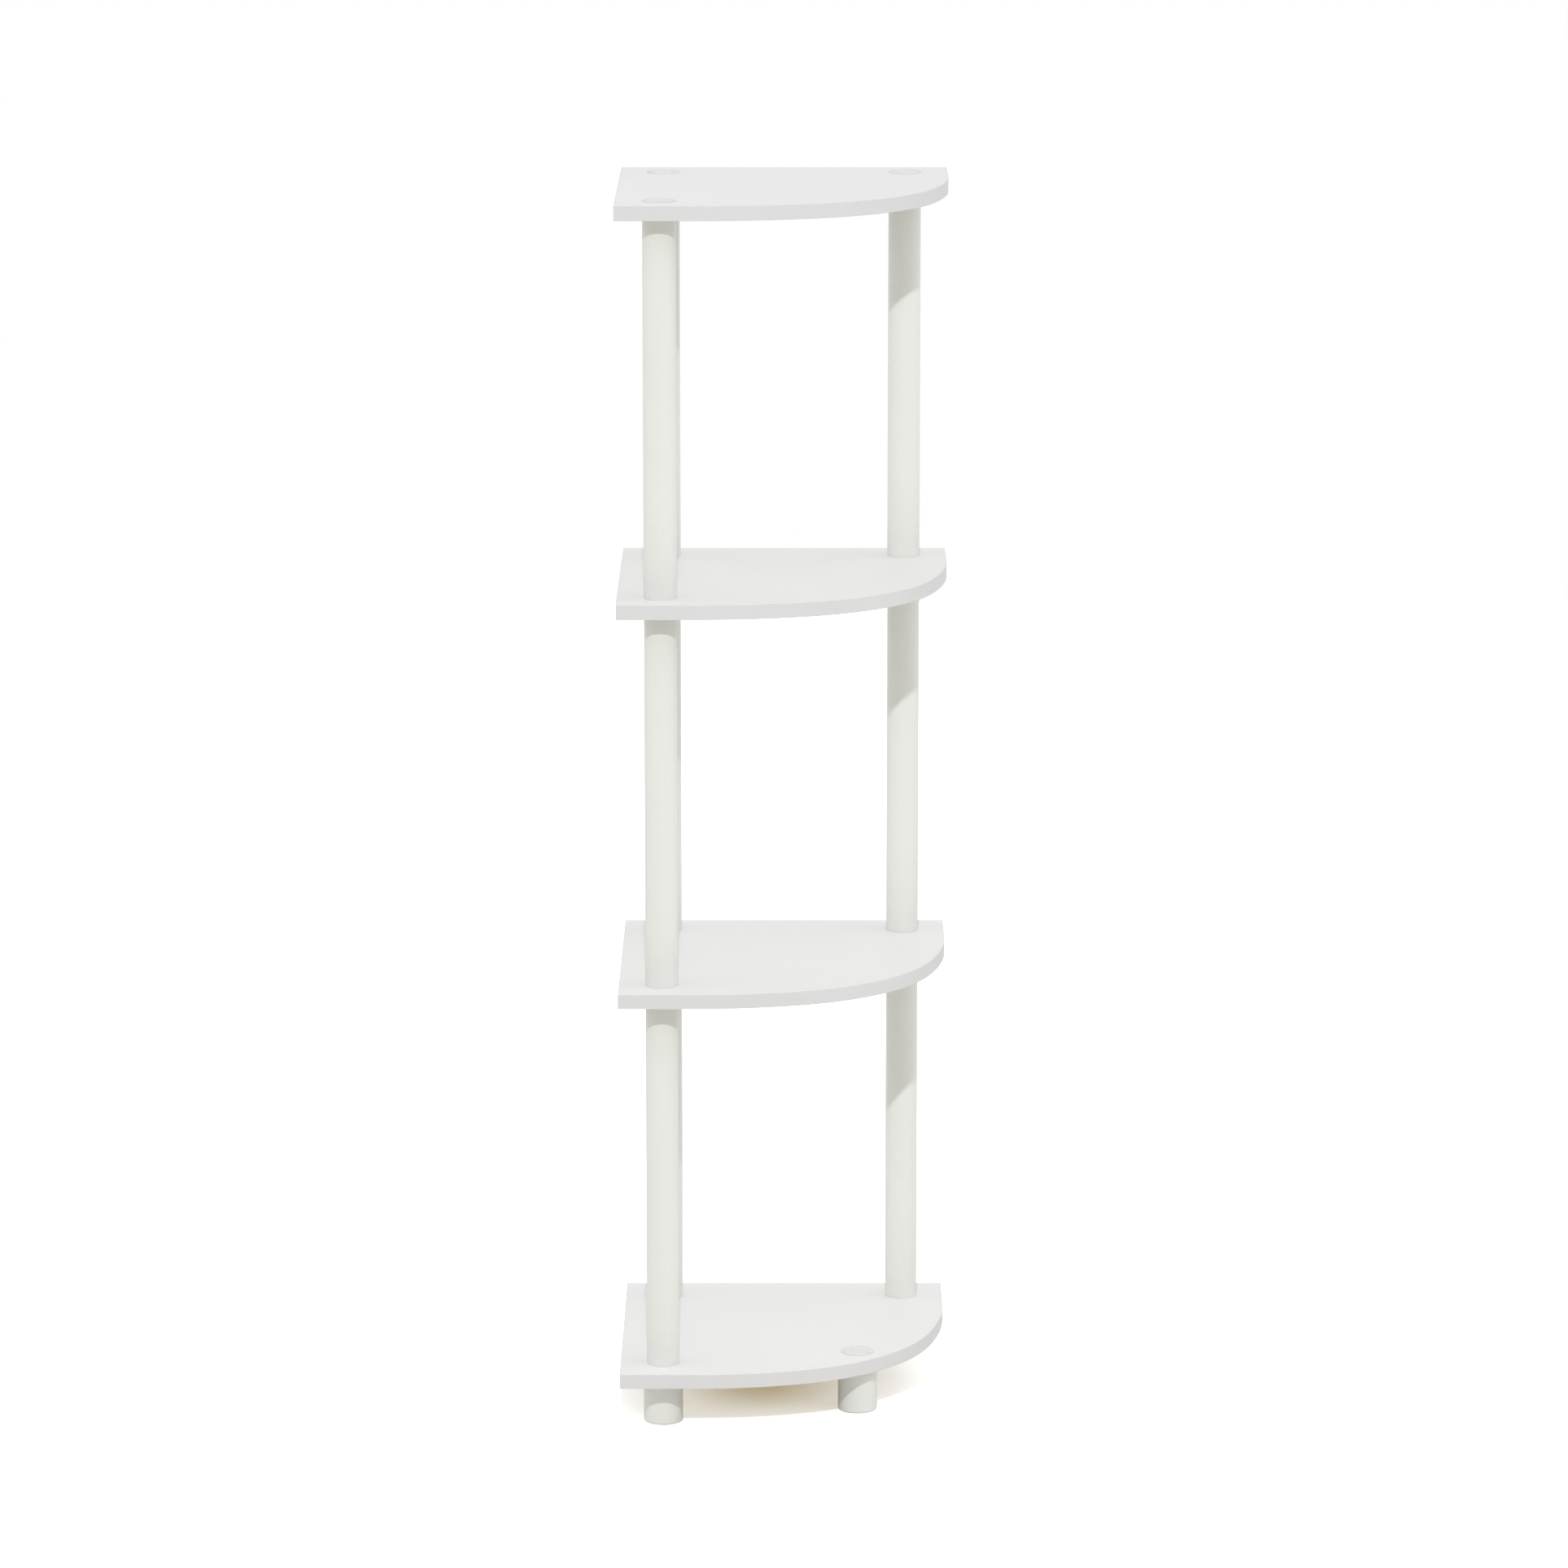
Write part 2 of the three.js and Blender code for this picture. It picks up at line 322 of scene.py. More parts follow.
# Colours. A finish drifts between a pair of them.
LAMINATE_COLOURS = ((0.846, 0.848, 0.844, 1), (0.866, 0.867, 0.864, 1))
LAMINATE_WORN = (0.66, 0.655, 0.635, 1)
# The underside's colour: painted shade, duller and creamier than the laminate
UNDERSIDE_SHADE_COLOURS = ((0.708, 0.686, 0.626, 1), (0.736, 0.714, 0.656, 1))
EDGING_COLOURS = ((0.681, 0.685, 0.693, 1), (0.7, 0.704, 0.713, 1))
EDGING_WORN = (0.77, 0.772, 0.77, 1)
TUBE_COLOURS = ((0.78, 0.794, 0.762, 1), (0.796, 0.81, 0.78, 1))
TUBE_STREAK = (0.745, 0.755, 0.72, 1)
MOULDED_COLOURS = ((0.773, 0.788, 0.762, 1), (0.793, 0.807, 0.782, 1))
PLASTIC_WORN = (0.6, 0.6, 0.56, 1)
# Darkening for dust on the caps, and painted shade at the tube ends and their flanges
DUST_AND_SHADE = (0.65, 0.655, 0.62, 1)
FLAKE_COLOURS = ((0.47, 0.31, 0.17, 1), (0.72, 0.55, 0.36, 1))
FLAKE_GAP = (0.2, 0.12, 0.06, 1)
WHITE = (1, 1, 1, 1)


class Paint(Nodes):
    """A new material's node tree, with the patterns that the finishes share."""

    def __init__(self, name):
        self.material = bpy.data.materials.new(name)
        self.material.use_nodes = True
        super().__init__(self.material.node_tree)
        self.shader = self.tree.nodes["Principled BSDF"]
        self.place = self.node("ShaderNodeTexCoord").outputs["Object"]

    def stretched(self, scale):
        """The place, scaled along each axis: a pattern runs longer where the scale is small."""
        mapping = self.node("ShaderNodeMapping", {"Vector": self.place, "Scale": scale})
        return mapping.outputs["Vector"]

    def noise(self, scale, detail=2, vector=None):
        inputs = {"Vector": vector or self.place, "Scale": scale, "Detail": detail}
        return self.node("ShaderNodeTexNoise", inputs).outputs["Fac"]

    def spread(self, pattern, low, high, span=NOISE_SPAN):
        """A value that rises from low to high as the pattern crosses the span."""
        start, end = span
        inputs = {"Value": pattern, "From Min": start, "From Max": end, "To Min": low, "To Max": high}
        return self.node("ShaderNodeMapRange", inputs).outputs["Result"]

    def drift(self, pattern, colours):
        """A colour that drifts between two."""
        return self.blend(self.spread(pattern, 0, 1), *colours)

    def roughness(self, fine, fine_range, coarse, coarse_range):
        """Roughness that follows a fine pattern, with what a coarse one adds or takes away."""
        return self.compute("ADD", self.spread(fine, *fine_range), self.spread(coarse, *coarse_range))

    def marked(self, mark, patches):
        """The patches, where the mesh carries the mark."""
        amount = self.node("ShaderNodeAttribute", attribute_name=mark).outputs["Fac"]
        return self.compute("MULTIPLY", amount, patches)

    def worn(self, colour, beneath, amount):
        """Shows some of another colour in patches along the worn corners."""
        patches = self.spread(self.noise(WEAR_SCALE, detail=5), 0, amount, WEAR_SPAN)
        return self.blend(self.marked("wear", patches), colour, beneath)

    def aged_and_shaded_plastic(self, colour):
        """Scuffed corners and patchy darkening: dust on the caps, painted shade at tube ends and
        flanges.
        """
        colour = self.worn(colour, PLASTIC_WORN, amount=0.3)
        patches = self.spread(self.noise(SOIL_AND_SHADE_SCALE, detail=4), *SOIL_AND_SHADE_SHARES)
        return self.blend(self.marked("soil_and_shade", patches), colour, DUST_AND_SHADE)

    def bumps(self, *layers):
        """Stacks (height, distance) layers of bump and feeds them to the shader."""
        normal = None
        for height, distance in layers:
            inputs = {"Height": height, "Distance": distance}
            if normal is not None:
                inputs["Normal"] = normal
            normal = self.node("ShaderNodeBump", inputs).outputs["Normal"]
        self.feed(self.shader.inputs["Normal"], normal)

    def finish(self, colour, roughness):
        self.feed(self.shader.inputs["Base Color"], colour)
        self.feed(self.shader.inputs["Roughness"], roughness)
        return self.material


# Materials
def laminate_material():
    """White melamine paper: a fine pebbled skin, faintly clouded, with a soft sheen."""
    paint = Paint("laminate")
    cloud = paint.noise(7, detail=4)
    handling = paint.noise(28, detail=5)
    pebble = paint.noise(1400, detail=3)
    grain = paint.noise(5200)
    colour = paint.drift(cloud, LAMINATE_COLOURS)
    colour = paint.worn(colour, LAMINATE_WORN, amount=0.25)
    paint.bumps((pebble, 0.00003), (grain, 0.00001))
    return paint.finish(colour, paint.roughness(pebble, (0.46, 0.56), handling, (-0.03, 0.05)))


def underside_shade_material():
    """Underside, matt: painted shade makes it duller and a shade creamier than the laminate."""
    paint = Paint("underside_shade")
    cloud = paint.noise(9, detail=4)
    fibre = paint.noise(1100, detail=4, vector=paint.stretched((0.25, 1, 1)))
    colour = paint.drift(cloud, UNDERSIDE_SHADE_COLOURS)
    paint.bumps((fibre, 0.00003))
    return paint.finish(colour, paint.roughness(fibre, (0.6, 0.72), cloud, (-0.02, 0.03)))


def edging_material():
    """Plastic edging strip: greyer, with fine lines along its length and a milled corner."""
    paint = Paint("edging")
    lines = paint.noise(3800, vector=paint.stretched((0.05, 0.05, 1)))
    speck = paint.noise(2600)
    cloud = paint.noise(16, detail=3)
    colour = paint.drift(cloud, EDGING_COLOURS)
    colour = paint.worn(colour, EDGING_WORN, amount=0.6)
    paint.bumps((lines, 0.00002), (speck, 0.00001))
    return paint.finish(colour, paint.roughness(lines, (0.4, 0.5), speck, (-0.02, 0.03)))


def tube_material():
    """Extruded off-white plastic: faint draw lines along the tube and a smooth, glossier skin."""
    paint = Paint("tube_plastic")
    drawn = paint.noise(900, detail=3, vector=paint.stretched((1, 1, 0.004)))
    fine = paint.noise(4200, vector=paint.stretched((1, 1, 0.02)))
    cloud = paint.noise(9, detail=3)
    scuffs = paint.noise(45, detail=6)
    colour = paint.drift(cloud, TUBE_COLOURS)
    colour = paint.blend(paint.spread(drawn, 0, 0.12), colour, TUBE_STREAK)
    colour = paint.aged_and_shaded_plastic(colour)
    paint.bumps((drawn, 0.00002), (fine, 0.000006))
    return paint.finish(colour, paint.roughness(fine, (0.27, 0.36), scuffs, (-0.04, 0.07)))


def moulded_material():
    """Moulded off-white plastic: a fine eroded texture and a satin sheen."""
    paint = Paint("moulded_plastic")
    erosion = paint.noise(2400, detail=4)
    flow = paint.noise(60, detail=3)
    colour = paint.drift(flow, MOULDED_COLOURS)
    colour = paint.aged_and_shaded_plastic(colour)
    paint.bumps((erosion, 0.00002), (flow, 0.00003))
    return paint.finish(colour, paint.roughness(erosion, (0.38, 0.5), flow, (-0.02, 0.03)))


def chipboard_material():
    """Raw chipboard inside the drilled holes: pressed flakes with dark gaps between them."""
    paint = Paint("chipboard")
    inputs = {"Vector": paint.stretched((1, 1, 2.4)), "Scale": 700}
    flakes = paint.node("ShaderNodeTexVoronoi", inputs, feature="F1").outputs["Distance"]
    gaps = paint.noise(1500, detail=4)
    colour = paint.blend(paint.spread(flakes, 0, 1, FLAKE_SPAN), *FLAKE_COLOURS)
    colour = paint.blend(paint.spread(gaps, 0, 0.6, GAP_SPAN), colour, FLAKE_GAP)
    paint.bumps((flakes, 0.0002), (gaps, 0.0001))
    return paint.finish(colour, paint.spread(gaps, 0.75, 0.95))


FINISHES = {
    "laminate": laminate_material(),
    "edging": edging_material(),
    "tube_plastic": tube_material(),
    "moulded_plastic": moulded_material(),
    "chipboard": chipboard_material(),
    "underside_shade": underside_shade_material(),
}


# Plan of the boards
def arc(centre_x, centre_y, radius, start, end, steps):
    turn = np.linspace(start, end, steps + 1)
    return np.column_stack((centre_x + radius * np.cos(turn), centre_y + radius * np.sin(turn)))


def front_curve(inset):
    """The curved part of the front edge from left to right, moved inwards by the inset.

    Measured from the square corner, the flanks turn about (near, -far) and (far, -near), and the
    nose between them about a point on the diagonal.
    """
    near = FRONT_STRAIGHT
    far = SHELF_SIDE - FLANK_RADIUS
    middle, half = (near + far) / 2, (near - far) / 2
    nose = middle + math.sqrt((FLANK_RADIUS - NOSE_RADIUS) ** 2 / 2 - half**2)
    turn = math.atan2(nose - near, nose - far)
    ahead = -math.pi / 2
    flank = FLANK_RADIUS - inset
    left = arc(near, -far, flank, ahead, ahead + turn, FLANK_STEPS)
    front = arc(nose, -nose, NOSE_RADIUS - inset, ahead + turn, -turn, NOSE_STEPS)
    right = arc(far, -near, flank, -turn, 0, FLANK_STEPS)
    return np.vstack((left, front[1:], right[1:])) + (CORNER_X, CORNER_Y)


def front_path(inset):
    """The whole front edge, from the plane of the side edge to the plane of the back edge."""
    start = (CORNER_X, CORNER_Y - SHELF_SIDE + inset)
    end = (CORNER_X + SHELF_SIDE - inset, CORNER_Y)
    return np.vstack((start, front_curve(inset), end))


def side_path(inset):
    """The straight left edge, from the square corner to the front strip."""
    x = CORNER_X + inset
    return np.array(((x, CORNER_Y), (x, CORNER_Y - SHELF_SIDE + BAND)))


def back_path(inset):
    """The straight back edge, between the side strip and the front strip."""
    y = CORNER_Y - inset
    return np.array(((CORNER_X + BAND, y), (CORNER_X + SHELF_SIDE - BAND, y)))


def board_outline(inset):
    corner = (CORNER_X + inset, CORNER_Y - inset)
    left = (CORNER_X + inset, CORNER_Y - SHELF_SIDE + inset)
    right = (CORNER_X + SHELF_SIDE - inset, CORNER_Y - inset)
    return np.vstack((corner, left, front_curve(inset), right))


def at_height(plan, height):
    return np.column_stack((plan, np.full(len(plan), height)))


def circle(place, radius, height):
    plan = arc(place[0], place[1], radius, 0, 2 * math.pi, ROUND_STEPS)[:-1]
    return at_height(plan, height)


# Boards
def panel_piece(number, places):
    """The board: laminate on top, painted shade below and bare chipboard inside the drilled holes."""
    node = f"shelf_{number}_panel"
    low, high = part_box(node)
    levels = [
        *rounded((0, low.z), LESS, UP, PANEL_EDGE),
        *rounded((0, high.z), UP, MORE, PANEL_EDGE),
    ]
    solid = Solid()
    rows = [solid.row(at_height(board_outline(BAND + inset), z), wear) for inset, z, wear in levels]
    solid.strips(rows)
    bottoms, tops = [], []
    for place in places:
        wall = [
            solid.row(circle(place, HOLE_RADIUS + HOLE_EDGE, low.z)),
            solid.row(circle(place, HOLE_RADIUS, low.z + HOLE_EDGE)),
            solid.row(circle(place, HOLE_RADIUS, high.z - HOLE_EDGE)),
            solid.row(circle(place, HOLE_RADIUS + HOLE_EDGE, high.z)),
        ]
        solid.strips(wall, tag=1)
        bottoms.append(wall[0])
        tops.append(wall[-1])
    solid.flat(rows[0], bottoms, tag=2)
    solid.flat(rows[-1], tops)
    materials = [FINISHES["laminate"], FINISHES["chipboard"], FINISHES["underside_shade"]]
    dress(solid.piece(f"board_{number}_panel", materials), node)


def strip_piece(name, path, node):
    """An edging strip along a path, which gives the plan of the strip for any inset.

    Its outer corners are rounded, and the board's laminate runs out over its flat top.
    """
    low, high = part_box(node)
    profile = [
        (BAND, low.z, 0),
        *rounded((0, low.z), LESS, UP, BAND_EDGE),
        *rounded((0, high.z), UP, MORE, BAND_EDGE),
        (BAND, high.z, 0),
    ]
    solid = Solid()
    rows = [solid.row(at_height(path(inset), z), wear) for inset, z, wear in profile]
    for i in range(len(rows)):
        j = (i + 1) % len(rows)
        on_top = min(profile[i][1], profile[j][1]) > high.z - HEIGHT_SLACK
        solid.strip(rows[i], rows[j], closed=False, tag=int(on_top))
    solid.face([row[0] for row in rows])
    solid.face([row[-1] for row in rows])
    materials = [FINISHES["edging"], FINISHES["laminate"]]
    dress(solid.piece(name, materials), node)


def board_bands(number):
    for kind, path in (("front", front_path), ("side", side_path), ("back", back_path)):
        strip_piece(f"board_{number}_{kind}_edging", path, f"shelf_{number}_{kind}_band")


# Round pieces
def turned_piece(node, kind, angles, rows, slot, closed=False):
    """A piece revolved round the upright axis of its node.

    Rows are (radius, height, wear, and the mark for dust and painted shade), of which the last one
    or two may be left out, and each of the first two may differ by angle.
    """
    centre = centre_of(node)
    solid = Solid()
    rings = []
    for radii, heights, *marks in rows:
        if np.ndim(radii) == 0 and radii == 0:
            rings.append(solid.row([(*centre, heights)], *marks))
            continue
        turn, radius, height = np.broadcast_arrays(angles, radii, heights)
        x = centre[0] + radius * np.cos(turn)
        y = centre[1] + radius * np.sin(turn)
        rings.append(solid.row(np.column_stack((x, y, height)), *marks))
    solid.strips(rings)
    if closed:
        solid.strip(rings[-1], rings[0])
    dress(solid.piece(f"{node}_{kind}", [FINISHES[slot]]), node)


def even_angles():
    return np.linspace(0, 2 * math.pi, ROUND_STEPS, endpoint=False)


def wrapped(angle):
    return (angle + math.pi) % (2 * math.pi) - math.pi


def spoked_angles(corners):
    """Even angles, with each spoke's window cleared and filled with its own corner angles."""
    spokes = np.arange(SPOKE_COUNT) * 2 * math.pi / SPOKE_COUNT
    reach = max(corners)
    plain = [a for a in even_angles() if min(abs(wrapped(a - spoke)) for spoke in spokes) > reach]
    own = [spoke + side * corner for spoke in spokes for corner in corners for side in (-1, 1)]
    angles = np.mod([*plain, *own, *spokes], 2 * math.pi)
    return np.unique(np.round(angles, ANGLE_DIGITS))


def near_spoke(angles, reach):
    gap = 2 * math.pi / SPOKE_COUNT
    away = np.abs(np.mod(angles + gap / 2, gap) - gap / 2)
    return away <= reach + ANGLE_SLACK


def half_angle(thickness, radius):
    """Half the angle that a spoke of this thickness takes up at a radius."""
    return math.asin(thickness / 2 / radius)


def thread_share(phase):
    """How far the thread stands up, from 0 at its root to 1 at its crest, over one pitch."""
    climb = 0.5 - np.abs(np.mod(phase, 1) - 0.5) - THREAD_ROOT_SHARE
    rise = np.clip(climb / THREAD_FLANK_SHARE, 0, 1)
    return rise * rise * (3 - 2 * rise)


def threaded_rows(angles, root, low, high):
    """(radii, height) rows of a thread between two heights, which fades out at both."""
    steps = round((high - low) / THREAD_PITCH * THREAD_STEPS_PER_PITCH)
    rows = []
    for height in np.linspace(low, high, max(THREAD_LEAST_STEPS, steps) + 1):
        fade = min(1, (height - low) / THREAD_RUN_OUT, (high - height) / THREAD_RUN_OUT)
        share = thread_share(height / THREAD_PITCH - angles / (2 * math.pi))
        rows.append((root + THREAD_DEPTH * fade * share, height))
    return rows


def stud_rows(angles, tip, shoulder):
    """Threaded outside of a stud, from its chamfered tip up to the shoulder."""
    root = STUD_RADIUS - THREAD_DEPTH
    return [
        (root - STUD_CHAMFER, tip),
        *threaded_rows(angles, root, tip + STUD_CHAMFER, shoulder - THREAD_RUN_OUT),
        (root, shoulder),
    ]


def socket_rows(angles, mouth, end):
    """Threaded wall of a socket from its mouth down to its lower end."""
    root = STUD_RADIUS - THREAD_DEPTH + THREAD_GAP
    rows = threaded_rows(angles, root, end, mouth)
    return [(SOCKET_RADIUS, mouth), *reversed(rows[:-1])]


def rib_angles():
    radii = (SLEEVE_RADIUS, RIB_CREST)
    return spoked_angles([half_angle(RIB_THICKNESS, radius) for radius in radii])


def sleeve_rows(angles, flange_face, free_end):
    """Outside of a ribbed sleeve, from the flange to the ribs' tapered start and the free end."""
    away = math.copysign(1, free_end - flange_face)
    on_rib = near_spoke(angles, half_angle(RIB_THICKNESS, RIB_CREST))
    ribbed = np.where(on_rib, RIB_CREST, SLEEVE_RADIUS)
    tapered = np.where(on_rib, RIB_CREST - RIB_LEAD_IN_DEPTH, SLEEVE_RADIUS)
    return [
        (ribbed, flange_face),
        (ribbed, free_end - away * RIB_LEAD_IN),
        (tapered, free_end),
    ]


def flange_rows(low, high, low_edge, high_edge):
    """Rim of a flange, going up, with both corners eased. It carries the tube end's painted shade."""
    rim = [
        *rounded((TUBE_RADIUS, low), MORE, UP, low_edge),
        *rounded((TUBE_RADIUS, high), UP, LESS, high_edge),
    ]
    return [(*point, 1.0) for point in rim]


def tube_piece(node):
    low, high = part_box(node)
    # Painted shade: the rows near both ends darken the tube towards the boards above and below
    rows = [
        (TUBE_BORE, low.z),
        *((*point, 1.0) for point in rounded((TUBE_RADIUS, low.z), MORE, UP, SEAM_EDGE)),
        *((TUBE_RADIUS, low.z + rise, 0.0, soil_and_shade) for rise, soil_and_shade in FOOT_PAINTED_SHADE),
        *((TUBE_RADIUS, high.z - drop, 0.0, soil_and_shade) for drop, soil_and_shade in reversed(HEAD_PAINTED_SHADE)),
        *((*point, 1.0) for point in rounded((TUBE_RADIUS, high.z), UP, LESS, SEAM_EDGE)),
        (TUBE_BORE, high.z),
    ]
    turned_piece(node, "pipe", even_angles(), rows, "tube_plastic", closed=True)


def stud_plug_piece(node):
    low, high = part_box(node)
    angles = rib_angles()
    flange_low = low.z + STUD_LENGTH
    flange_high = flange_low + FLANGE
    rows = [
        (0, low.z),
        *stud_rows(angles, low.z, flange_low),
        *flange_rows(flange_low, flange_high, PLASTIC_EDGE, SEAM_EDGE),
        *sleeve_rows(angles, flange_high, high.z),
        (SOCKET_RADIUS, high.z),
        (SOCKET_RADIUS, flange_high),
        (STUD_BORE, flange_high),
        (STUD_BORE, low.z + STUD_TIP),
        (0, low.z + STUD_TIP),
    ]
    turned_piece(node, "fitting", angles, rows, "moulded_plastic")


def socket_plug_piece(node):
    low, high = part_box(node)
    angles = rib_angles()
    flange_low = high.z - FLANGE
    rows = [
        *reversed(sleeve_rows(angles, flange_low, low.z)),
        *flange_rows(flange_low, high.z, SEAM_EDGE, PLASTIC_EDGE),
        *socket_rows(angles, high.z, low.z),
    ]
    turned_piece(node, "fitting", angles, rows, "moulded_plastic", closed=True)


def cap_piece(node):
    low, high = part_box(node)
    angles = even_angles()
    seat = high.z - CAP_HEAD
    dish = CAP_RADIUS - CAP_RIM_WIDTH
    floor = high.z - CAP_DISH_DEPTH
    head = [
        *rounded((CAP_RADIUS, seat), MORE, UP, CAP_UNDERCUT, CAP_GUARD),
        *rounded((CAP_RADIUS, high.z), UP, LESS, CAP_EDGE, CAP_GUARD),
        (dish, high.z, 0.0),
        (dish - CAP_DISH_DEPTH, floor, 0.0),
        (0, floor, 0.0),
    ]
    rows = [
        (0, seat),
        (STUD_BORE, seat),
        (STUD_BORE, low.z),
        *stud_rows(angles, low.z, seat),
        *((*point, CAP_SOIL) for point in head),
    ]
    turned_piece(node, "screw", angles, rows, "moulded_plastic")


def foot_piece(node):
    low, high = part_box(node)
    radii = (FOOT_BOSS_RADIUS, FOOT_MOUTH_RADIUS)
    corners = [half_angle(FOOT_WEB_THICKNESS, radius) for radius in radii]
    angles = spoked_angles(corners)
    on_web = near_spoke(angles, min(corners))
    floor = low.z + FOOT_FLOOR
    webbed = np.where(on_web, high.z - FOOT_WEB_DROP, floor)
    rows = [
        (0, low.z),
        *rounded((FOOT_RADIUS, low.z), MORE, UP, FOOT_EDGE),
        *rounded((FOOT_RADIUS, high.z), UP, LESS, PLASTIC_EDGE),
        (FOOT_MOUTH_RADIUS, high.z),
        (FOOT_MOUTH_RADIUS, webbed),
        (FOOT_BOSS_RADIUS, webbed),
        (FOOT_BOSS_RADIUS, high.z),
        *socket_rows(angles, high.z, floor),
        (0, floor),
    ]
    turned_piece(node, "cup", angles, rows, "moulded_plastic")


# Floor
FLOOR_REACH = 4.0
FLOOR_MIDDLE = 0.3
SOLE_CLEARANCE = 0.0001
SOLE_OPENING = FOOT_RADIUS - FOOT_EDGE - SOLE_CLEARANCE
FLOOR_BOUNCE = (0.8, 0.77, 0.72, 1)
FLOOR_SEEN = (0.97, 0.98, 1.0, 1)

# Glow that only the camera sees, as (distance from its centre, colour): dim and warm near the feet,
# where it paints the shadow under the unit, and white further out, where it paints over shadows
GLOW_CENTRE = (-0.022, -0.007, 0)
PAINTED_SHADE_GLOW_RINGS = (
    (0.015, (0.245, 0.187, 0.07, 1)),
    (0.074, (0.423, 0.39, 0.325, 1)),
    (0.125, (0.47, 0.455, 0.425, 1)),
    (0.26, WHITE),
)


def floor_material():
    """White floor that keeps the shadow under the unit, and is clear when looked at from below.

    Its glow shows to the eye and lights nothing. Near the feet it is painted shadow, warm and dim,
    and further out it is painted light that covers the shelves' shadows.
    """
    paint = Paint("floor")
    paint.tree.nodes.remove(paint.shader)
    tint = paint.blend(paint.seen_rays(), FLOOR_BOUNCE, FLOOR_SEEN)
    diffuse = paint.node("ShaderNodeBsdfDiffuse", {"Color": tint})
    inputs = {0: paint.place, 1: GLOW_CENTRE}
    away = paint.node("ShaderNodeVectorMath", inputs, operation="DISTANCE").outputs["Value"]
    looked_at = paint.node("ShaderNodeLightPath").outputs["Is Camera Ray"]
    inputs = {"Color": paint.ramp(away, PAINTED_SHADE_GLOW_RINGS), "Strength": looked_at}
    glow = paint.node("ShaderNodeEmission", inputs)
    both = paint.node("ShaderNodeAddShader", {0: diffuse.outputs[0], 1: glow.outputs[0]})
    under = paint.node("ShaderNodeNewGeometry").outputs["Backfacing"]
    clear = paint.node("ShaderNodeBsdfTransparent")
    inputs = {0: under, 1: both.outputs[0], 2: clear.outputs[0]}
    one_sided = paint.node("ShaderNodeMixShader", inputs)
    output = paint.tree.nodes["Material Output"]
    paint.feed(output.inputs["Surface"], one_sided.outputs[0])
    return paint.material


def square(reach):
    return [(-reach, -reach, 0), (reach, -reach, 0), (reach, reach, 0), (-reach, reach, 0)]


def make_floor():
    """The floor, open right under the soles, so that they show when looked at from below."""
    solid = Solid()
    outer = solid.row(square(FLOOR_REACH))
    inner = solid.row(square(FLOOR_MIDDLE))
    centres = [centre_of(f"{place}_foot") for place in CAPPED_PLACES]
    soles = [solid.row(circle(centre, SOLE_OPENING, 0)) for centre in centres]
    solid.strip(outer, inner)
    solid.flat(inner, soles)
    floor = solid.piece("floor", [floor_material()])
    if floor.data.polygons[0].normal.z < 0:
        floor.data.flip_normals()


# Light. The wide lights are (direction, narrowness, strength), added to the even light.
WORLD_LIGHT = 0.44
WIDE_LIGHTS = (
    ((0, 0, 1), 1, 0.2),
    ((0.98, 0, 0.2), 4, 0.93),
    ((-0.98, 0, 0.2), 4, 0.72),
)
KEY_PLACE = (-0.05, -3.05, 2.8)
KEY_RADIUS = 0.035
KEY_POWER = 15.1
KEY_GLEAM = 0.1


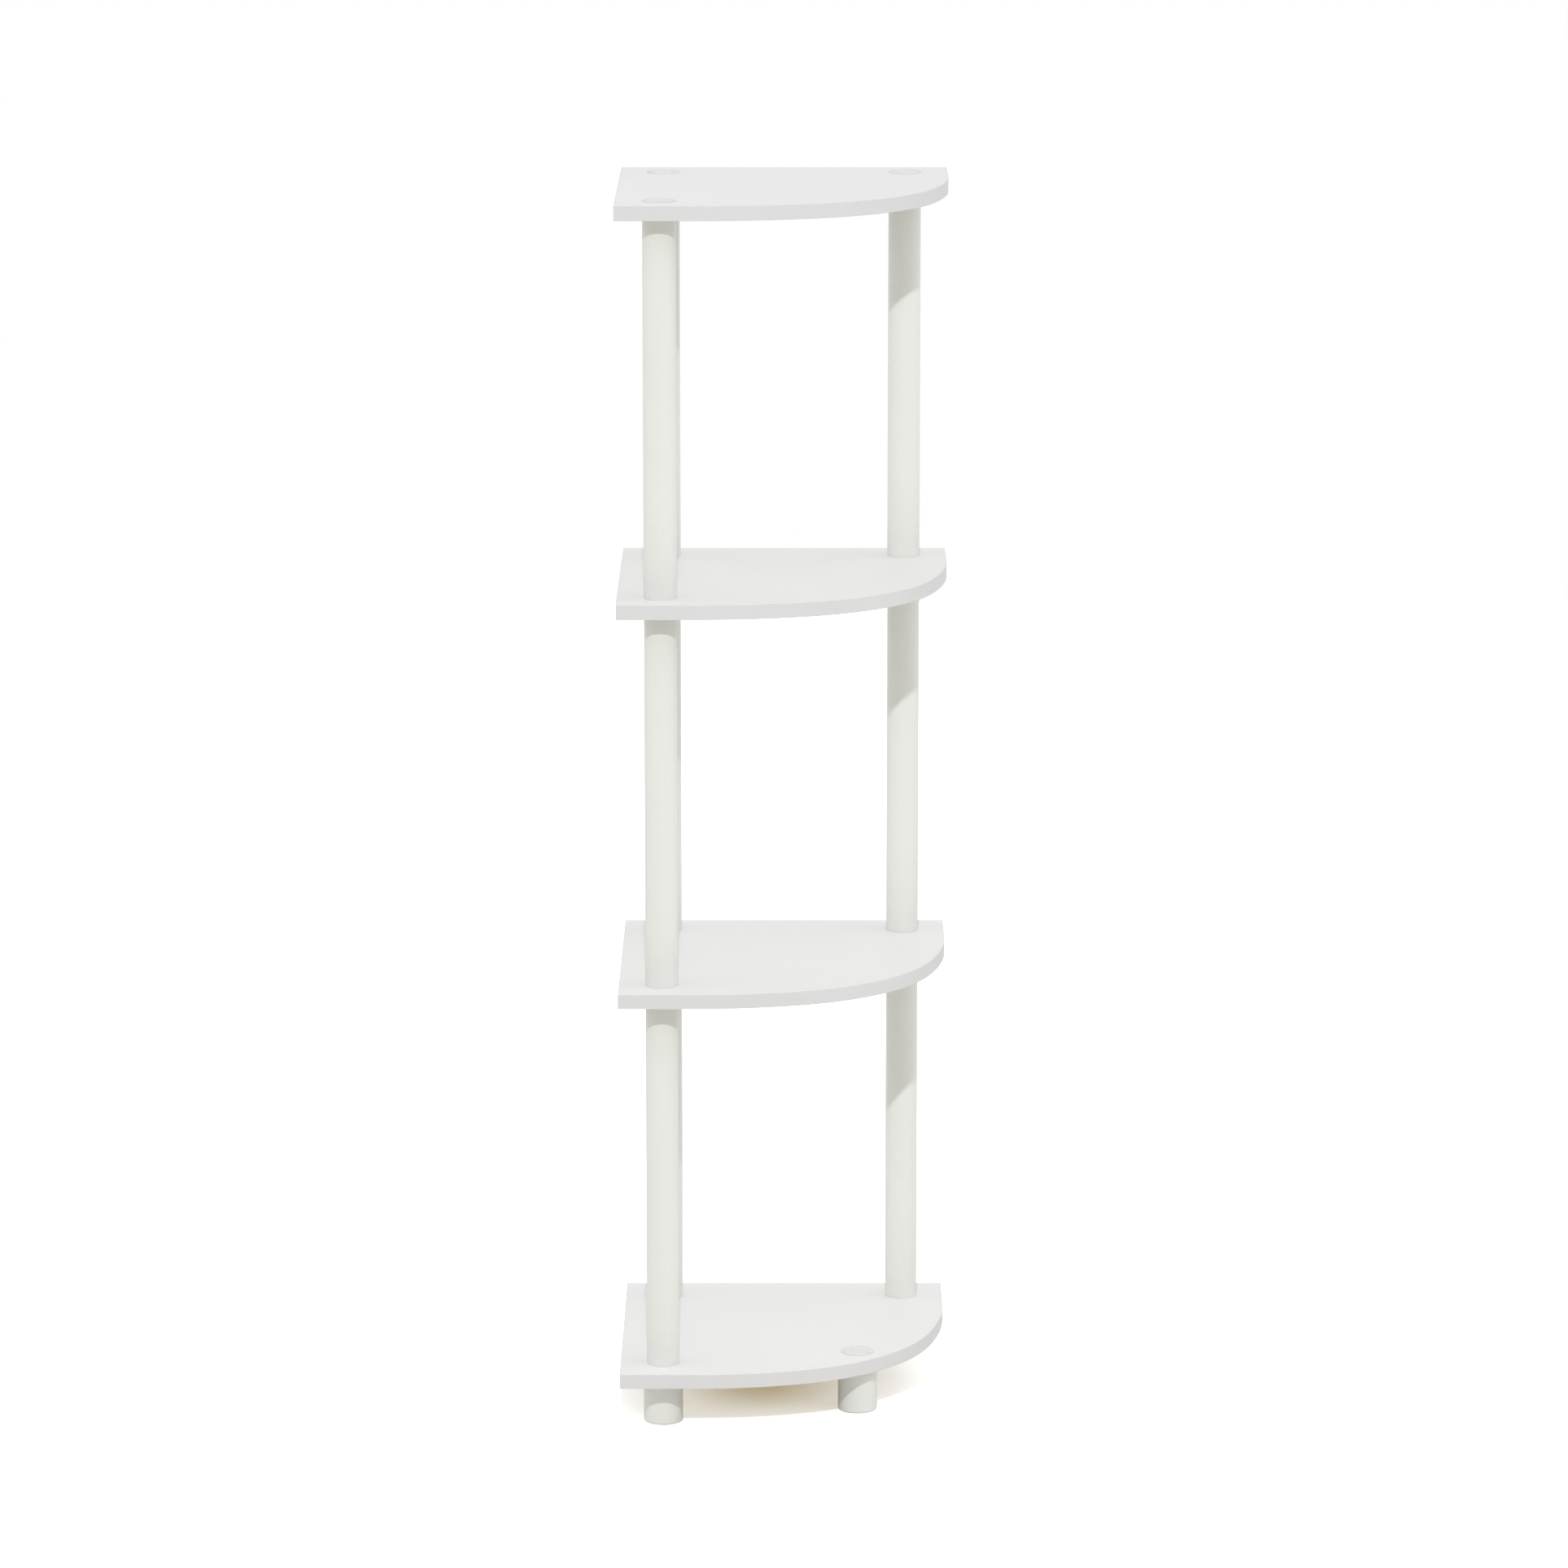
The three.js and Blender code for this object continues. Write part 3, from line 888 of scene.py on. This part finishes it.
def make_world():
    """White light all round, with wide soft lights added. The camera and reflections see white."""
    world = bpy.data.worlds.new("studio")
    world.use_nodes = True
    nodes = Nodes(world.node_tree)
    direction = nodes.node("ShaderNodeTexCoord").outputs["Generated"]
    light = WORLD_LIGHT
    for towards, narrowness, amount in WIDE_LIGHTS:
        inputs = {0: direction, 1: towards}
        facing = nodes.node("ShaderNodeVectorMath", inputs, operation="DOT_PRODUCT")
        share = nodes.compute("MAXIMUM", facing.outputs["Value"], 0)
        share = nodes.compute("POWER", share, narrowness)
        light = nodes.compute("MULTIPLY_ADD", share, amount, light)
    inputs = {"Value": nodes.seen_rays(), "To Min": light, "To Max": 1.0}
    strength = nodes.node("ShaderNodeMapRange", inputs).outputs["Result"]
    background = nodes.tree.nodes["Background"]
    nodes.feed(background.inputs["Color"], WHITE)
    nodes.feed(background.inputs["Strength"], strength)
    bpy.context.scene.world = world


def key_lamp(name, power, gleams):
    """A small lamp high in front. Its light doesn't fall off, so all the boards get as much."""
    lamp = bpy.data.lights.new(name, "POINT")
    lamp.energy = power
    lamp.shadow_soft_size = KEY_RADIUS
    lamp.use_nodes = True
    nodes = Nodes(lamp.node_tree)
    falloff = nodes.node("ShaderNodeLightFalloff", {"Strength": 1.0})
    emission = nodes.tree.nodes["Emission"]
    nodes.feed(emission.inputs["Strength"], falloff.outputs["Constant"])
    key = add_object(name, lamp)
    key.location = KEY_PLACE
    key.visible_glossy = gleams


def make_key():
    """The key in two parts, of which only the weaker one shows in reflections.

    With all of it showing, the boards would turn white seen from behind.
    """
    key_lamp("key", KEY_POWER * (1 - KEY_GLEAM), gleams=False)
    key_lamp("key_gleam", KEY_POWER * KEY_GLEAM, gleams=True)


# Camera, fitted to the corners of the boards, the tubes and the feet in the photograph
CAMERA_PLACE = (0.0, -5.789, 1.783)
CAMERA_DOWN_DEGREES = 11.905
SENSOR_MM = 36.0
LENS_MM = 150.93


def make_camera():
    lens = bpy.data.cameras.new("camera")
    lens.sensor_fit = "HORIZONTAL"
    lens.sensor_width = SENSOR_MM
    lens.lens = LENS_MM
    camera = add_object("camera", lens)
    camera.location = CAMERA_PLACE
    camera.rotation_euler = (math.radians(90 - CAMERA_DOWN_DEGREES), 0, 0)
    bpy.context.scene.camera = camera


# All the pieces, and what stands round them
for number in BOARD_NUMBERS:
    places = CAPPED_PLACES if number == LOWEST_BOARD else COLUMNS
    panel_piece(number, [centre_of(f"{place}_foot") for place in places])
    board_bands(number)

for column in COLUMNS:
    for number in BOARD_NUMBERS[:-1]:
        tube_piece(f"{column}_tube_{number}")
        stud_plug_piece(f"{column}_stud_plug_{number}")
        socket_plug_piece(f"{column}_socket_plug_{number}")

for place in CAPPED_PLACES:
    cap_piece(f"{place}_cap")
    foot_piece(f"{place}_foot")

make_floor()
make_world()
make_key()
make_camera()
bpy.context.scene.view_settings.view_transform = "Standard"
